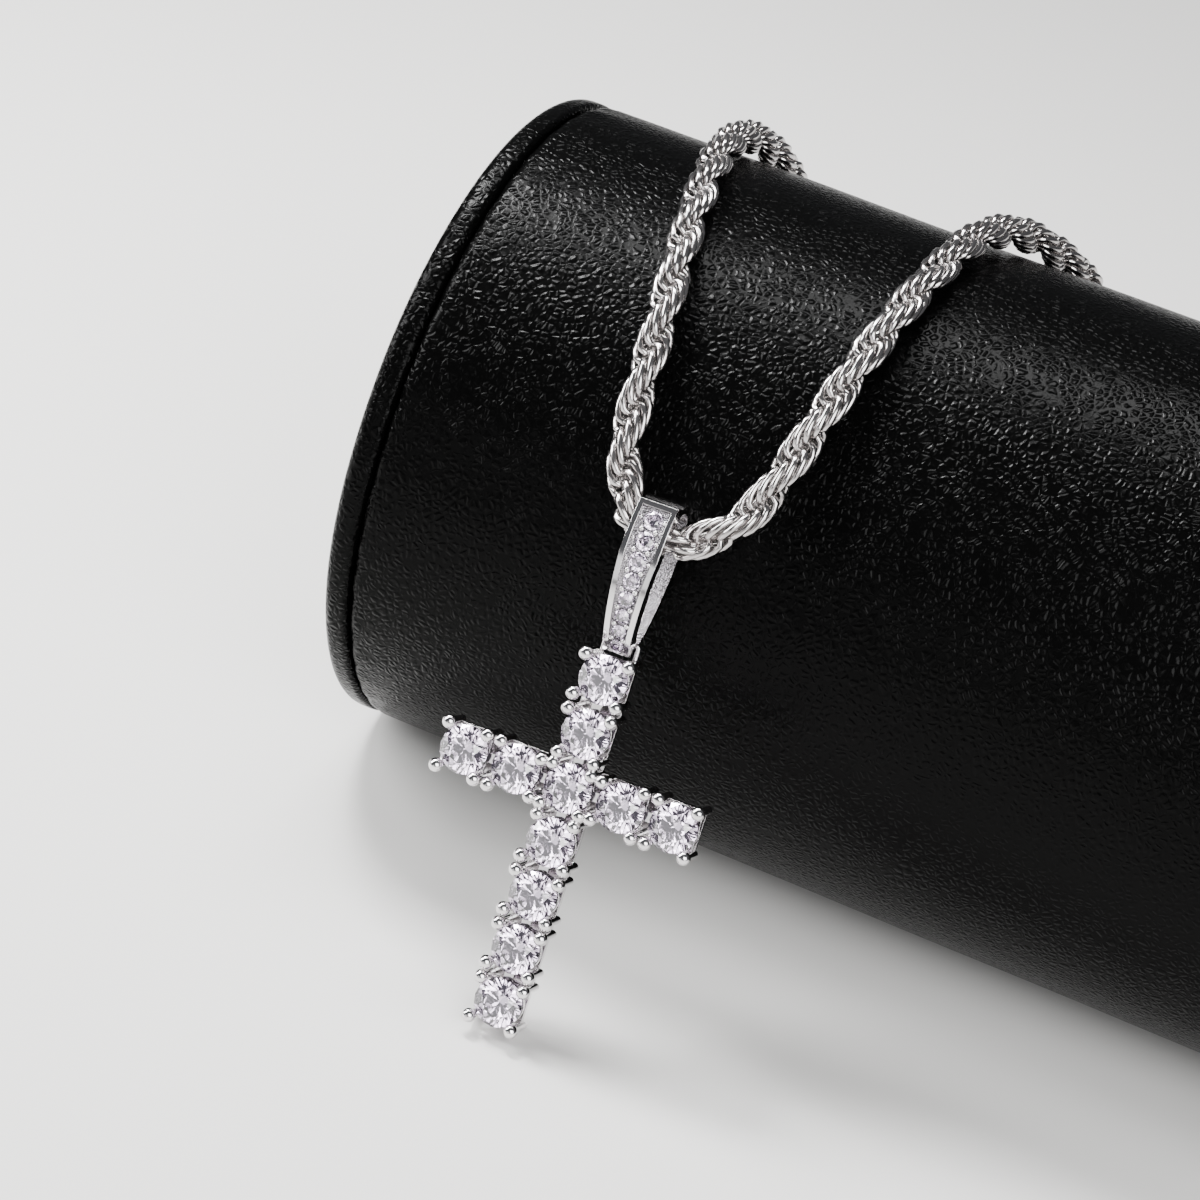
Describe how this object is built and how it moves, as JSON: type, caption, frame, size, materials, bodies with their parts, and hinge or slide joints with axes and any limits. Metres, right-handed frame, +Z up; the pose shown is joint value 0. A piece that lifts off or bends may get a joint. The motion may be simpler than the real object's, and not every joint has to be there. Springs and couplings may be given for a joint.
{
  "type": "cross pendant on rope chain with display roll",
  "caption": "Cross pendant of round clear stones held by bead prongs, with a stone-set bail, on a rope chain that hangs over a black padded display roll.",
  "frame": {"origin": "on the roll's flat underside, straight below the middle stone of the cross", "axes": "+Z up, +X along the roll to the viewer's right, +Y to the back; the cross leans against the roll's front, which faces -Y"},
  "size_m": [0.1107, 0.1673, 0.0595],
  "materials": {
    "polished_white_metal": "polished white metal",
    "chain_white_metal": "polished white metal wire",
    "clear_stone": "clear round brilliant cut",
    "black_leatherette": "pebbled satin leatherette over padding"
  },
  "bodies": {
    "root": {"cross_setting": "polished_white_metal", "stone_middle": "clear_stone", "stone_up_1": "clear_stone", "stone_up_2": "clear_stone", "stone_down_1": "clear_stone", "stone_down_2": "clear_stone", "stone_down_3": "clear_stone", "stone_down_4": "clear_stone", "stone_left_1": "clear_stone", "stone_left_2": "clear_stone", "stone_right_1": "clear_stone", "stone_right_2": "clear_stone", "bail": "polished_white_metal", "bail_stone_1": "clear_stone", "bail_stone_2": "clear_stone", "bail_stone_3": "clear_stone", "bail_stone_4": "clear_stone", "bail_stone_5": "clear_stone", "bail_stone_6": "clear_stone", "bail_stone_7": "clear_stone", "bail_stone_8": "clear_stone", "rope_chain": "chain_white_metal", "end_cap_left": "chain_white_metal", "end_cap_right": "chain_white_metal", "clasp": "chain_white_metal", "roll_body": "black_leatherette", "roll_end_left": "black_leatherette", "roll_end_right": "black_leatherette"}
  },
  "joints": []
}
